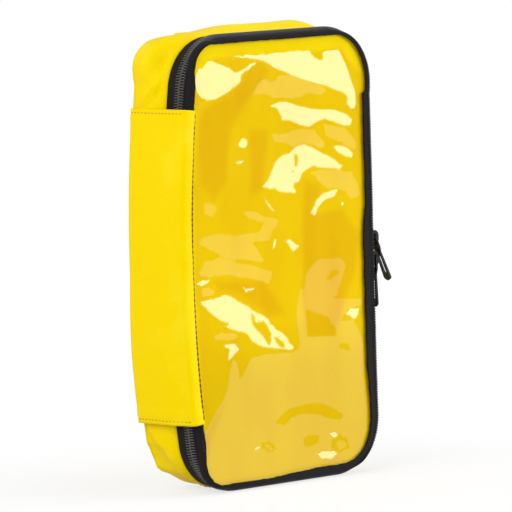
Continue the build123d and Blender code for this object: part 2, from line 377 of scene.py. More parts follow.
def thread_finish(name, colour):
    """Twisted sewing thread."""
    finish = Finish(name, Specular_IOR_Level=0.3, Sheen_Weight=0.2)
    twist = finish.ribs(finish.place(), 0.0005, "DIAGONAL")
    dark = tuple(0.7 * part for part in colour[:3]) + (1,)
    finish.set("Base Color", finish.between(twist, dark, colour))
    finish.set("Roughness", 0.6 + 0.15 * twist)
    finish.bump(twist, 0.0001)
    return finish.material


zip_coil = coil_finish()
slider_metal = slider_finish()
foam = foam_finish()
yellow_thread = thread_finish("yellow_thread", linear(255, 218, 4))
# dark brown thread that also paints the shadow line along the spine's front edge
brown_thread_and_shadow_line = thread_finish("brown_thread_and_shadow_line", linear(110, 66, 10))
ochre_thread = thread_finish("ochre_thread", linear(205, 168, 8))
print("materials", len(bpy.data.materials))

# %% [markdown]
# ## The rim
# Almost every piece follows the outline of the case: a rounded rectangle whose left side bows out.
# The rim is that outline, measured clockwise in millimetres from the middle of the hinge.
# A piece is then a profile of (growth, depth) pairs that is carried along it. Growth is measured
# outwards from the wall that carries the zip, and depth back from the front panel.

# %% Sizes of the case, in millimetres
MM = 0.001
front = -20.0
case_height = 240.0
right_wall = 67.0
wall_bottom = 2.0
wall_top = 238.0
corner = 28.0
bow_radius = 688.6
bow_centre = 616.7
middle = case_height / 2
spine_bottom = 38.0
spine_top = 202.0
shell_thickness = 0.9
panel_thickness = 0.7

# %% Points of the rim
def run_along(points):
    """Distance along a path of points to each of them."""
    return np.concatenate([[0], np.cumsum(np.linalg.norm(np.diff(points, axis=0), axis=1))])


def points_at(wanted, run, points):
    """Points of a path at distances along it."""
    return np.stack([np.interp(wanted, run, column) for column in points.T], axis=1)


def build_rim(step=0.5):
    """The outline at growth 0: places along it, points, and outward normals."""
    reach = bow_radius - corner
    lean = math.asin((wall_top - corner - middle) / reach)
    left = bow_centre - reach * math.cos(lean)
    across = right_wall - corner
    top = wall_top - corner
    bottom = wall_bottom + corner
    turned = math.pi - lean
    arcs = [
        ((bow_centre, middle), bow_radius, math.pi, turned),
        ((left, top), corner, turned, math.pi / 2),
        ((across, top), corner, math.pi / 2, 0),
        ((across, bottom), corner, 0, -math.pi / 2),
        ((left, bottom), corner, -math.pi / 2, -turned),
        ((bow_centre, middle), bow_radius, -turned, -math.pi),
    ]
    points = []
    normals = []
    for (centre_x, centre_z), radius, start, end in arcs:
        count = max(2, int(abs(end - start) * radius / step))
        for angle in np.linspace(start, end, count):
            points.append((centre_x + radius * math.cos(angle), centre_z + radius * math.sin(angle)))
            normals.append((math.cos(angle), math.sin(angle)))
    return run_along(points), np.array(points), np.array(normals)


rim_places, rim_points, rim_normals = build_rim()
rim_length = rim_places[-1]


def rim(places):
    """Points and outward normals at places along the rim."""
    wrapped = np.mod(places, rim_length)
    parts = [np.interp(wrapped, rim_places, column) for column in (*rim_points.T, *rim_normals.T)]
    size = np.hypot(parts[2], parts[3])
    return parts[0], parts[1], parts[2] / size, parts[3] / size


def off_rim(places, growth, depth):
    """Points at a growth and depth from places on the rim."""
    x, z, normal_x, normal_z = rim(places)
    return np.stack([x + normal_x * growth, front + depth + 0 * x, z + normal_z * growth], axis=-1)


def place_at_height(height):
    """Place on the rim's left side at a height above the middle, or below it."""
    rise = bow_radius * math.asin((height - middle) / bow_radius)
    return rise if rise > 0 else rim_length + rise


zip_start = place_at_height(spine_top - 6)
zip_end = place_at_height(spine_bottom + 6)
print("rim", round(rim_length), "mm, zip from", round(zip_start), "to", round(zip_end))

# %% [markdown]
# ## Helpers for cloth
# A cloth piece is a grid of points. These helpers make the grid, give it a place along and across
# for its weave, and give it thickness with a Solidify modifier.

# %% Noise, smoothing and meshes
def ripple(across, up, size, seed):
    """Soft noise at points of a plane, about -1 to 1, with hills of a given size."""
    points = zip(np.ravel(across), np.ravel(up))
    flat = [noise.noise((x / size, y / size, seed * 7.3)) for x, y in points]
    return np.reshape(flat, np.shape(across))


def smooth_step(value, low, high):
    """Rises from 0 to 1 between two values."""
    share = np.clip((value - low) / (high - low), 0, 1)
    return share * share * (3 - 2 * share)


def softened(profile, spacing=1.0, passes=2):
    """A profile with even spacing and rounded corners."""
    run = run_along(profile)
    count = max(2, int(run[-1] / spacing)) + 1
    made = points_at(np.linspace(0, run[-1], count), run, np.array(profile, float))
    for _ in range(passes):
        made[1:-1] = (made[:-2] + 2 * made[1:-1] + made[2:]) / 4
    return made


def add_mesh(name, points, faces, material, smooth=True):
    """A mesh object from points in millimetres."""
    mesh = bpy.data.meshes.new(name)
    mesh.from_pydata((np.reshape(points, (-1, 3)) * MM).tolist(), [], faces)
    mesh.polygons.foreach_set("use_smooth", [smooth] * len(mesh.polygons))
    mesh.materials.append(material)
    piece = bpy.data.objects.new(name, mesh)
    bpy.context.scene.collection.objects.link(piece)
    return piece


def set_weave(piece, along, across):
    """Stores the place of each point along and across the cloth, in metres."""
    layer = piece.data.uv_layers.new(name="weave")
    flat = np.stack([np.ravel(along), np.ravel(across)], axis=1) * MM
    corners = np.empty(len(piece.data.loops), int)
    piece.data.loops.foreach_get("vertex_index", corners)
    layer.data.foreach_set("uv", flat[corners].ravel())


def grid_faces(rows, columns, closed=False):
    """Quads of a grid of points, joined round if it is closed."""
    faces = []
    for row in range(rows if closed else rows - 1):
        onward = (row + 1) % rows
        for column in range(columns - 1):
            faces.append((row * columns + column, row * columns + column + 1,
                          onward * columns + column + 1, onward * columns + column))
    return faces


def thicken(piece, thickness, side=-1.0):
    """Gives a sheet its thickness, in millimetres."""
    solid = piece.modifiers.new("thickness", "SOLIDIFY")
    solid.thickness = thickness * MM
    solid.offset = side
    solid.use_even_offset = False


# %% Cloth that follows the rim
def wrap(name, start, end, profile, material, spacing, push, shape=None, closed=False):
    """Carries a profile of growth and depth along the rim. shape changes its growth, and push then
    moves it along its own outward direction."""
    slope = np.gradient(profile, axis=0)
    slope /= np.linalg.norm(slope, axis=1)[:, None]
    places = np.linspace(start, end, int((end - start) / spacing), endpoint=not closed)
    along, across = np.meshgrid(places, run_along(profile), indexing="ij")
    growth, depth = (np.broadcast_to(column, along.shape) for column in profile.T)
    if shape is not None:
        growth = shape(along, growth, depth)
    amount = push(along, across)
    points = off_rim(along, growth + amount * slope[:, 1], depth - amount * slope[:, 0])
    piece = add_mesh(name, points, grid_faces(*along.shape, closed), material)
    set_weave(piece, along, across)
    return piece


def dress(piece, body, node, finish, **cloth):
    """Fixes a piece to a body in the place of a CAD node. For cloth that is cut from a sheet, it also
    takes the flat size and what the cloth rests on, which are not used."""
    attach(piece, body)
    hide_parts(node)


def face_out(piece, way):
    """Turns every face over if most of the surface looks away from a direction."""
    if sum(face.normal.dot(Vector(way)) * face.area for face in piece.data.polygons) < 0:
        piece.data.flip_normals()


# %% Cloth that fills the outline
def inner_outline(inset, arched):
    """Left and right ends of each level inside the rim, for a function that gives the inset. Where
    the top is arched, the whole of its left corner belongs to the left end."""
    places = rim_places[:-1]
    x, z, normal_x, normal_z = rim(places)
    margin = inset(places)
    x = x - normal_x * margin
    z = z - normal_z * margin
    left_half = (normal_x < 0) | (arched & (normal_z > 0.999) & (x < 0))
    right_half = (normal_x > 0) & ~left_half
    return (x[left_half], z[left_half]), (x[right_half], z[right_half]), z.min(), z.max()


def fill(name, inset, depth, material, columns, rows, lift, arched=False):
    """A sheet inside the rim. lift gives how far each point stands out to the front. The rows lie
    closer together near the top and the bottom."""
    (left_x, left_z), (right_x, right_z), low, high = inner_outline(inset, arched)
    share = np.linspace(0, 1, rows)
    even = low + (high - low) * share
    eased = low + (high - low) * (1 - np.cos(math.pi * share)) / 2
    levels = 0.45 * even + 0.55 * eased
    order_left, order_right = np.argsort(left_z), np.argsort(right_z)
    left = np.interp(levels, left_z[order_left], left_x[order_left])
    far_right = np.interp(levels, right_z[order_right], right_x[order_right])
    steps = np.linspace(0, 1, columns)
    x = left[:, None] + (far_right - left)[:, None] * steps[None, :]
    z = np.broadcast_to(levels[:, None], x.shape)
    points = np.stack([x, front + depth - lift(x, z), z], axis=-1)
    piece = add_mesh(name, points, grid_faces(rows, columns), material)
    set_weave(piece, x, z)
    return piece


print("helpers ready")

# %% [markdown]
# ## Gusset
# The gusset is the side wall of the body. Its front edge is folded under and sewn over the zip
# tape, and its belly stands out level with the zip. Near the spine panel's ends it creases, because
# the book's hinge pulls it in. It is one strip carried along the rim, pushed out by soft noise and
# by a few sharp ridges.

# %% Soft shape of the rear half
def drawn_up(normal_z):
    """The rear of the bottom is drawn up off the floor."""
    return 3.2 * smooth_step(-normal_z, 0.6, 0.88)


def drawn_in(normal_x, normal_z):
    """The rear is drawn in under the lower end of the spine panel."""
    below_spine = smooth_step(-normal_z, 0.08, 0.27) * (1 - smooth_step(-normal_z, 0.45, 0.7))
    return 1.6 * below_spine * (normal_x < 0)


def top_swell(places):
    """How far the padded rear stands out past the rim: most at the top corner beside the spine."""
    x, z, normal_x, normal_z = rim(places)
    upward = np.clip(normal_z, 0, 1)
    spine_corner = 40 * np.clip(-normal_x, 0, 1) ** 3.6 * upward**2
    arch = upward**4 * (2.8 * smooth_step(x, -46, -5) - 0.8) * (1 - smooth_step(x, 36, 54))
    return spine_corner + arch - drawn_in(normal_x, normal_z)


def rear_swell(places):
    """Growth of the rear edge: the swell, less the drawing up of the bottom."""
    return top_swell(places) - drawn_up(rim(places)[3])


def gusset_lift(places, depth):
    """How far the bottom of the gusset is drawn up at a depth."""
    return drawn_up(rim(places)[3]) * smooth_step(depth, 14, 26)


def gusset_shape(along, growth, depth):
    """The gusset follows the swell from behind the zip to the back."""
    return growth + top_swell(along) * smooth_step(depth, 19.5, 29) - gusset_lift(along, depth)


# %% Gusset
def beside_line(along, across, start, end):
    """How far places of the cloth lie along a line and off it to its left, and the line's length."""
    direction = np.subtract(end, start)
    length = np.hypot(*direction)
    direction = direction / length
    run = (along - start[0]) * direction[0] + (across - start[1]) * direction[1]
    off = (across - start[1]) * direction[0] - (along - start[0]) * direction[1]
    return run, off, length


def ridge(along, across, start, end, height, width):
    """A crease between two places: highest on its line, fading to both sides and at its ends."""
    run, off, length = beside_line(along, across, start, end)
    fade = smooth_step(run, -4, 4) * (1 - smooth_step(run, length - 4, length + 4))
    return height * np.exp(-np.abs(off) / width) * fade


def sunk_side(along, across, start, end, drop, reach):
    """The cloth to the right of a line falls away from it, down to a drop at a reach."""
    off = beside_line(along, across, start, end)[1]
    return -drop * np.clip(-off / reach, 0, 1)


def gusset_push(along, across):
    """Folds of the gusset: one at the top by the spine, one at the bottom by it, and a soft one."""
    fold = rim_length - 84
    folds = 0.35 * ripple(along, across * 1.6, 22, 1) + 0.12 * ripple(along, across, 7, 2)
    folds += ridge(along, across, (101, 0), (82, 16), 2.6, 1.5)
    folds += ridge(along, across, (fold, 20), (fold - 22, 2), 0.9, 1.6)
    folds += ridge(along, across, (126, 6), (112, 22), 0.6, 3.0)
    behind = sunk_side(along, across, (fold, 21), (fold - 24, 0.5), 1.4, 7)
    folds += behind * smooth_step(along, fold - 44, fold - 24)
    return folds * smooth_step(across, 3, 7) * (1 - smooth_step(across, 20, 24))


gusset_profile = softened([(-0.3, 16.9), (1.0, 17.1), (1.3, 19), (2.2, 23), (2.2, 30), (1.5, 36),
                           (0.2, 39.6), (-1.0, 39.9)])
under_spine = 10
gusset = wrap("gusset_cloth", zip_start - under_spine, zip_end + under_spine, gusset_profile, tarpaulin, 1.6,
              gusset_push, gusset_shape)
thicken(gusset, shell_thickness)
dress(gusset, "body", "gusset", "tarpaulin", rests_on=["rear_zip_tape"],
      flat=((zip_end - zip_start + 2 * under_spine) * MM, 0.026))
print("gusset", len(gusset.data.vertices), "points")

# %% [markdown]
# ## Zip tapes
# Each half of the zip is a woven tape with a coil sewn to its edge. The rear tape runs under the
# gusset. The front tape turns over the edge of the case and is sewn over the rim of the window, so
# a black band frames the front. That band is uneven, as the sewing pulls it in and lets it out.

# %% Rear tape
rear_tape = wrap("rear_zip_tape", zip_start, zip_end,
                 softened([(-0.05, 7.4), (0, 12), (-0.1, 16), (-0.5, 21.8)], passes=1), zip_tape, 1.6,
                 lambda along, across: 0.06 * ripple(along, across, 6, 4))
thicken(rear_tape, 0.7)
dress(rear_tape, "body", "body_zip_tape", "zip_tape", rests_on=["gusset"],
      flat=((zip_end - zip_start) * MM, 0.0145))


# %% Front tape
band_inset = 2.7
band_inset_right = 6.6
window_corner = 14.0
flat_part = 6.0
tooth_pitch = 1.4


def tighter_corner(normal_x, normal_z, inset):
    """Inset that turns the rim's corner into a tighter one with the same sides."""
    offset = corner - inset - window_corner
    across = offset * (np.abs(normal_x) + np.abs(normal_z))
    curved = across + np.sqrt(np.maximum(across**2 - 2 * offset**2 + window_corner**2, 0))
    straight = (corner - inset) / np.maximum(np.abs(normal_x), np.abs(normal_z))
    on_curve = curved * np.minimum(np.abs(normal_x), np.abs(normal_z)) > offset
    return corner - np.where(on_curve, curved, straight)


def band_edge(places):
    """How far the black band reaches on to the front: little at the left corners, more on the right."""
    x, z, normal_x, normal_z = rim(places)
    rightward = np.clip(normal_x, 0, 1)
    inset = band_inset + (band_inset_right - band_inset) * rightward**2
    inset += 2.2 * rightward**2 * smooth_step(z, 35, 60) * (1 - smooth_step(z, 125, 150))
    inset += 1.8 * np.clip(-normal_z, 0, 1) ** 2 * smooth_step(x, -15, 20)
    inset -= 2.6 * rightward * smooth_step(z, 203, 205)
    inset = np.where(normal_x < 0, tighter_corner(normal_x, normal_z, inset), inset)
    uneven = 0.35 * ripple(places, 0 * places, 9, 5) + 0.3 * ripple(places, 0 * places, 2.6, 6)
    return inset + uneven


def corner_bulge(reach):
    """How far the front edge stands out over the zip, so that the band is never too narrow."""
    return np.maximum(0, 1.5 - reach)


def front_tape_shape(along, growth, depth):
    """Stretches the flat part of the tape to the edge of the window."""
    reach = band_edge(along)
    bulge = corner_bulge(reach)
    flat = bulge + growth / flat_part * (reach + bulge)
    return np.where(growth < 0, flat, growth + bulge * (1 - smooth_step(depth, 1.5, 6.0)))


def front_tape_push(along, across):
    """The turns of the coil print through the tape on the right, so that its edge is finely toothed."""
    at_edge = smooth_step(across, 3.4, 4.6) * (1 - smooth_step(across, 8.5, 10))
    to_right = smooth_step(rim(along)[2], 0.2, 0.6)
    tooth = 0.9 * np.cos(2 * math.pi * along / tooth_pitch) - 0.1
    return 0.08 * ripple(along, across, 5, 7) + tooth * at_edge * to_right


front_tape_profile = softened([(-flat_part, -0.75), (-4.8, -0.8), (-3.6, -0.5), (-1.6, -0.2), (-0.4, 0.6),
                               (0, 2.0), (0, 6.2)], 0.7, 1)
front_tape = wrap("front_zip_tape", zip_start, zip_end, front_tape_profile, zip_tape, 0.28,
                  front_tape_push, front_tape_shape)
thicken(front_tape, 0.5)
dress(front_tape, "lid", "lid_zip_tape", "zip_tape", rests_on=["lid_panel"],
      flat=((zip_end - zip_start) * MM, 0.0115))
print("tapes made")

# %% [markdown]
# ## Coils
# A coil zip has no separate teeth. A nylon wire is wound into a flattened spiral, and the two
# spirals mesh in the middle with a pitch of 1.4 mm. The wire's path is worked out turn by turn and
# a thin tube is drawn along it, because the dashes of light on each turn are what the eye sees.

# %% Tubes along a path
def tube(path, radius, sides):
    """Points and faces of an open tube along a path of points."""
    ahead = np.gradient(path, axis=0)
    ahead /= np.linalg.norm(ahead, axis=1)[:, None]
    oblique = (0.31, 0.87, 0.38)  # a direction that no path here follows
    outward = np.cross(ahead, np.broadcast_to(oblique, ahead.shape))
    outward /= np.linalg.norm(outward, axis=1)[:, None]
    sideways = np.cross(ahead, outward)
    angles = np.arange(sides) * 2 * math.pi / sides
    ring = (np.cos(angles)[None, :, None] * outward[:, None, :]
            + np.sin(angles)[None, :, None] * sideways[:, None, :])
    points = (path[:, None, :] + radius * ring).reshape(-1, 3)
    faces = []
    for turn in range(len(path) - 1):
        for side in range(sides):
            onward = (side + 1) % sides
            faces.append((turn * sides + side, (turn + 1) * sides + side,
                          (turn + 1) * sides + onward, turn * sides + onward))
    return points, faces


# %% Both coils
wire_radius = 0.36
slit_depth = 6.8
turn_shape = [(-3.0, 0.45, 0.0), (-2.75, 1.55, 0.06), (-1.2, 1.68, 0.14), (0.25, 1.66, 0.22),
              (0.75, 1.1, 0.3), (0.3, 0.5, 0.38), (-1.2, 0.4, 0.6), (-2.6, 0.38, 0.85)]


def make_coil(name, way, offset, body, node):
    """One half of the zip: way is 1 for the lid's half and -1 for the body's."""
    turns = np.arange(int((zip_end - zip_start) / tooth_pitch))[:, None]
    reach, height, share = np.array(turn_shape).T
    places = zip_start + (turns + share + offset) * tooth_pitch
    path = off_rim(places, height, slit_depth + reach * way).reshape(-1, 3)
    points, faces = tube(path, wire_radius, 5)
    dress(add_mesh(name, points, faces, zip_coil), body, node, "zip_coil")
    print(name, len(turns), "turns")


make_coil("lid_coil", 1, 0.0, "lid", "lid_zip_coil")
make_coil("body_coil", -1, 0.5, "body", "body_zip_coil")

# %% [markdown]
# ## Front panel and window
# Under the film lies a panel of the same tarpaulin, padded from behind, so it is a little crowned
# and has soft waves. The film is held only at its edge and has been folded and rolled, so it is
# full of small flat places, and each lies at its own slope. A lean of a few degrees decides what a
# flat place mirrors: the dark floor in front, the pale room above it, or the lamp. A change of two
# degrees over a millimetre is hardly any height, so the flat places are stored as a lean of the
# surface at each point, and only the broad waves are in the mesh.

# %% Flat places of the film, as outlines across and up the front
lit_places = [
    [(-60, 223), (-57, 223), (-55, 225), (-51, 227), (-30, 218), (-31, 215), (-36, 212), (-46, 208),
     (-52, 206), (-58, 208), (-61, 211), (-63, 216)],
    [(-33.5, 219.5), (-18.5, 224.5), (-24.5, 221), (-31, 218.5)],
    [(-34, 228), (-13, 228), (19, 228), (22, 227), (25, 224), (29, 222), (32, 223), (31, 226), (34, 227),
     (43, 227), (47, 221), (55, 203), (54, 196), (50, 196), (48, 199), (49, 203), (33, 209), (11, 215),
     (-6, 221), (-10, 224), (-18, 226)],
    [(-9, 201), (-3, 202), (2, 202), (12, 199), (21, 197), (36, 196), (46, 193), (51, 190), (50, 187),
     (45, 187), (30, 192), (25, 191), (18, 188), (13, 189), (6, 192), (-1, 193), (-3, 198)],
    [(-17, 159), (-12, 163), (-8, 171), (-2, 174), (3, 175), (8, 178), (14, 179), (38, 169), (43, 165),
     (40, 164), (29, 166), (18, 167), (13, 164), (10, 160), (5, 158), (7, 154), (4, 154), (-1, 155)],
    [(35.5, 176), (41.5, 176.5), (47.5, 174.5), (52, 171.5), (50.5, 170), (46, 170.5), (40, 173.5)],
    [(18, 142), (20, 145), (23, 149), (28, 152), (34, 153), (38, 153), (37, 150), (30, 149), (25, 146),
     (21, 141)],
    [(-34, 182), (-32, 184.5), (-29.5, 185), (-27, 182), (-29, 180.5), (-32, 180.5)],
    [(-37.5, 173), (-30, 174), (-32.5, 172.5)],
    [(-1, 129.5), (2, 130), (5, 127), (8.5, 125.5), (6, 123.5), (4, 123)],
    [(-10.5, 128.5), (-8.5, 131), (-9.5, 126.5), (-11.5, 125.5)],
    [(-17, 154), (-11, 147), (-8, 145), (-11, 146), (-15, 150)],
    [(42, 147.5), (43, 144.5), (41, 145.5)],
    [(-65, 102), (-45, 104), (-39, 102), (-37, 100), (-19, 91), (-12, 85), (-10, 83), (-4, 80), (3, 72),
     (0, 71), (-19, 74), (-29, 78), (-30, 80), (-32, 83), (-37, 84), (-43, 86), (-50, 88), (-45, 88),
     (-44, 89), (-52, 92), (-60, 98)],
    [(-49, 78), (-45, 79), (-40, 78), (-37, 75), (-42, 72), (-45, 69), (-45, 71), (-44, 75)],
    [(-66, 111.5), (-62, 113.5), (-56, 112.5), (-62.5, 110)],
    [(-33.5, 107), (-28.5, 106), (-23.5, 106), (-27, 104.5), (-31.5, 105)],
    [(41.5, 87), (46.5, 89), (54, 88.5), (50, 83), (47, 84)],
    [(-29, 21), (-24.5, 23), (-22.5, 22.5), (-26, 20.5)],
    [(28, 23.5), (31, 24.5), (34.5, 22.5), (33, 21), (30, 21.5)],
    [(19, 14), (21.5, 15), (32, 14), (33.5, 11.5), (28.5, 10), (21, 11)],
]
pale_places = [
    [(-18, 213), (-14, 215), (-6, 213), (-3, 216), (7, 216), (26, 210), (32, 207), (29, 204), (18, 206),
     (12, 204), (3, 204), (-7, 205), (-14, 208), (-22, 207), (-21, 210)],
    [(-9, 186), (-2, 185), (6, 187), (13, 187), (22, 186), (31, 178), (28, 176), (13, 180), (6, 178),
     (0, 181), (-8, 182)],
    [(29, 189), (47, 185), (54, 179), (54, 173), (30, 183)],
    [(18, 164), (26, 165), (50, 162), (55, 155), (56, 149), (49, 147), (44, 152), (38, 154), (31, 154)],
    [(-64, 132), (-61, 136), (-51, 137), (-37, 135), (-20, 136), (-17, 140), (-12, 142), (-6, 141),
     (-7, 138), (-11, 136), (-13, 130), (-25, 130), (-17, 119), (-26, 120), (-34, 122), (-40, 122),
     (-47, 124)],
    [(-32.5, 147), (-25.5, 147), (-14.5, 142.5), (-6.5, 141.5), (-12.5, 140.5), (-22, 140.5),
     (-28.5, 142.5)],
    [(-59.5, 154), (-53, 153), (-50, 149.5), (-54.5, 145), (-59, 147.5)],
    [(-65, 116), (-61, 121), (-61, 123), (-48, 124), (-18, 116), (-12, 114), (-12, 110), (-15, 107),
     (-23, 110), (-45, 114), (-56, 114)],
    [(-62.5, 109), (-57.5, 109.5), (-52, 106.5), (-56.5, 104), (-63, 104)],
    [(24, 118), (39, 117), (44, 113), (36, 97), (28, 95), (13, 96), (11, 102), (13, 110), (18, 115)],
    [(12, 97), (55, 94), (56, 90), (43, 89), (41, 86), (38, 84), (34, 79), (28, 86), (13, 91)],
    [(6.5, 97), (10, 105), (12, 96.5), (13.5, 83), (13.5, 75), (8.5, 72), (6.5, 78.5), (5.5, 89)],
    [(-55.5, 84), (-50, 85), (-39.5, 84), (-37, 81.5), (-44.5, 80), (-54.5, 81)],
    [(-29, 70), (-20, 71), (1, 70), (6, 72), (9, 76), (14, 77), (34, 76), (35, 83), (48, 83), (53, 77),
     (56, 69), (56, 50), (58, 33), (57, 23), (53, 13), (44, 8), (-39, 3), (-52, 3), (-59, 5), (-64, 10),
     (-67, 17), (-68, 25), (-64, 33), (-50, 50), (-47, 56), (-45, 65), (-42, 70), (-39, 68), (-38, 59)],
]
dark_places = [
    [(-12, 34), (-7, 38), (1, 40), (11, 41), (22, 40), (38, 33), (36, 31), (28, 32), (18, 36), (10, 37),
     (0, 36), (-6, 32)],
    [(9, 22.5), (14, 24), (20, 23.5), (18.5, 20), (13, 18.5), (9, 19.5)],
    [(-23, 23.5), (-17, 24), (-12, 20.5), (-16, 18.5), (-21.5, 21)],
    [(30, 20), (35, 23), (41, 19), (43, 15), (36, 13), (29, 16)],
    [(37.5, 71.5), (42, 70.5), (44.5, 67.5), (41, 67.5), (36.5, 69.5)],
    [(28, 106.5), (34.5, 110.5), (39, 110), (33.5, 107)],
]
cracks = [
    [(7, 173.5), (8.5, 175), (9.5, 172.5), (9, 168), (7, 167)],
    [(3, 167), (6.5, 165.5), (8, 164.5), (5, 165)],
    [(-29, 92), (-27, 93), (-26, 88), (-20, 88), (-16, 84), (-14, 81), (-15, 75), (-24, 84), (-28, 88)],
    [(-12, 79.5), (-8.5, 78), (-5.5, 76), (-3.5, 72.5), (-7, 73.5), (-10, 75.5)],
]
# Places where the panel is painted darker: painted shade of folds in the film.
painted_shade_places = [
    [(-56, 202), (-39, 208), (-30, 213), (-22, 222), (-13, 224), (-9, 219), (-14, 213), (-23, 207),
     (-30, 200), (-37, 190), (-40, 180), (-42, 164), (-51, 154), (-60, 163), (-60, 194)],
    [(-24, 189), (-10, 188), (-13, 170), (-16, 157), (-25, 155)],
    [(16, 160), (26, 157), (28, 153), (21, 146), (25, 141), (42, 143), (56, 128), (52, 109), (34, 76),
     (14, 77), (11, 97), (13, 112), (13, 134)],
    [(-62, 30), (-58, 37), (-47, 48), (-61, 22)],
    [(-52, 112), (-18, 109), (-9, 100), (-2, 91), (-12, 90), (-38, 105), (-49, 106)],
]
# Places where the panel is painted lighter: painted light in a strip beside the spine and along the top.
painted_light_places = [
    [(-75, 120), (-73, 160), (-70, 206), (-60.5, 200), (-64, 160), (-65.3, 120), (-64, 80), (-61, 36),
     (-70, 36), (-73, 80)],
    [(-66, 216), (-40, 232), (60, 230), (66, 214), (60, 214), (46, 228), (-30, 228), (-52, 231),
     (-64, 224)],
    [(-70, 240), (70, 240), (70, 228), (-70, 228)],
]
print("flat places", len(lit_places), len(pale_places), len(dark_places))


def inside(x, z, outline, edge):
    """1 inside a closed outline and 0 outside, with a soft edge."""
    corners = np.array(outline, float)
    nearest = np.full(x.shape, 1e6)
    within = np.zeros(x.shape, bool)
    for (start_x, start_z), (end_x, end_z) in zip(corners, np.roll(corners, -1, axis=0)):
        run_x, run_z = end_x - start_x, end_z - start_z
        share = ((x - start_x) * run_x + (z - start_z) * run_z) / (run_x**2 + run_z**2)
        share = np.clip(share, 0, 1)
        nearest = np.minimum(nearest, np.hypot(x - start_x - share * run_x, z - start_z - share * run_z))
        if run_z != 0:
            crossing = start_x + run_x * (z - start_z) / run_z
            within ^= ((start_z > z) != (end_z > z)) & (x < crossing)
    return smooth_step(np.where(within, nearest, -nearest), -edge, edge)


def laid_over(value, x, z, groups):
    """Lays groups of outlines over a value. Each has its outlines, its own value and the softness of
    their edges."""
    for outlines, own, edge in groups:
        for outline in outlines:
            share = inside(x, z, outline, edge)
            value = value * (1 - share) + own * share
    return value


def front_places(piece):
    """Places of a piece's points across and up the front, in millimetres."""
    points = np.empty(len(piece.data.vertices) * 3)
    piece.data.vertices.foreach_get("co", points)
    return points[0::3] / MM, points[2::3] / MM


# %% Front panel
front_flat = (0.134, 0.234)


def puff(x, z, height):
    """A low crown that is 0 at the edge of the panel."""
    side = smooth_step(right_wall - 4 - np.abs(x), 0, 26)
    end = smooth_step(middle - 6 - np.abs(z - middle), 0, 30)
    return height * side * end


def panel_lift(x, z):
    """Front panel: crowned, with soft waves that run mostly up and down."""
    waves = 0.8 * ripple(x, z * 0.45, 26, 11) + 0.5 * ripple(x * 0.6, z, 30, 12)
    return 0.3 + puff(x, z, 0.9) + waves * puff(x, z, 0.8)


def under_band(places):
    """The panel and the film run on under the black band."""
    reach = band_edge(places)
    return np.maximum(reach - 1.6, 0.8 - corner_bulge(reach))


def set_painted_shade(piece):
    """Stores where the panel is painted darker or lighter: 1 for painted shade, 0 for painted light, 0.55
    elsewhere.
    """
    x, z = front_places(piece)
    bent_x = x + 0.8 * ripple(x, z, 9, 35)
    painted_shade_share = laid_over(0.55, bent_x, z, ((painted_light_places, 0.0, 1.2), (painted_shade_places, 1.0, 2.5)))
    layer = piece.data.attributes.new("painted_shade_share", "FLOAT", "POINT")
    layer.data.foreach_set("value", painted_shade_share)


panel = fill("front_panel", under_band, 0.6, covered_tarpaulin, 90, 160, panel_lift)
face_out(panel, (0, -1, 0))
set_painted_shade(panel)
thicken(panel, panel_thickness)
dress(panel, "lid", "lid_panel", "tarpaulin", flat=front_flat, area=0.0304, rests_on=["front_zip_tape"])

# %% Lean of the film
def film_lift(x, z):
    """The film lies on the panel, with a little air under it."""
    return 0.35 + panel_lift(x, z) + 0.25 * (1 + ripple(x, z, 28, 13)) * puff(x, z, 1.0)


def wanted_lean(x, z):
    """How far the film should lean upwards and to the right at each point, as slopes."""
    bent_x = x + 0.8 * ripple(x, z, 3, 25) + 0.6 * ripple(x, z, 1.4, 33)
    bent_z = z + 0.7 * ripple(x, z, 3, 28) + 0.5 * ripple(x, z, 1.4, 34)
    uneven = 0.006 * ripple(x, z, 5, 29)
    towards_floor = 0.08 * np.exp(-z / 35) - 0.014 - 0.025 * smooth_step(z, 190, 222)
    towards_room = 0.1205 - 0.0005 * z
    towards_lamp = 0.17 - 0.00015 * z
    groups = ((pale_places, towards_room + uneven, 1.0), (dark_places, towards_floor + uneven, 1.2),
              (lit_places, towards_lamp + uneven, 0.6), (cracks, towards_floor + uneven, 0.5))
    lean_up = laid_over(towards_floor + 0.008 * ripple(x, z, 22, 27), bent_x, bent_z, groups)
    return lean_up, 0.03 * ripple(x, z, 16, 30)


def set_lean(piece, kept=0.15):
    """Stores the lean at each point, less what the mesh already leans apart from a small share."""
    x, z = front_places(piece)
    slope_x = film_lift(x + 0.5, z) - film_lift(x - 0.5, z)
    slope_z = film_lift(x, z + 0.5) - film_lift(x, z - 0.5)
    lean_up, lean_right = wanted_lean(x, z)
    lean = np.stack([lean_right + (1 - kept) * slope_x, 0 * x, lean_up + (1 - kept) * slope_z], axis=1)
    layer = piece.data.attributes.new("tilt", "FLOAT_VECTOR", "POINT")
    layer.data.foreach_set("vector", lean.ravel())


# %% Window
window = fill("window_film", under_band, -0.2, clear_vinyl, 180, 310, film_lift)
face_out(window, (0, -1, 0))
set_lean(window)
dress(window, "lid", "window_sheet", "clear_vinyl", flat=front_flat, area=0.0304, rests_on=["front_panel"])
print("window", len(window.data.vertices), "points")

# %% [markdown]
# ## Spine panel
# The hinge is a wide piece of tarpaulin sewn over the ends of the zip. Its front edge is turned on
# to the window, its rear edge on to the back, and each end has a folded, topstitched hem. It is one
# cloth.

# %% Spine panel
spine_profile = softened([(-2.6, -0.75), (-0.4, -0.95), (2.4, -0.7), (3.3, 0.6), (3.4, 8), (3.6, 20),
                          (3.4, 32), (3.2, 39), (2.2, 40.3), (-6, 40.35)])
spine_start = place_at_height(spine_bottom) - rim_length
spine_end = place_at_height(spine_top)
spine_slack = 1.5
hem_stitch = 2.2


def from_ends(along):
    """How far a place lies from the nearer end of the spine panel."""
    return np.minimum(along - spine_start, spine_end - along)


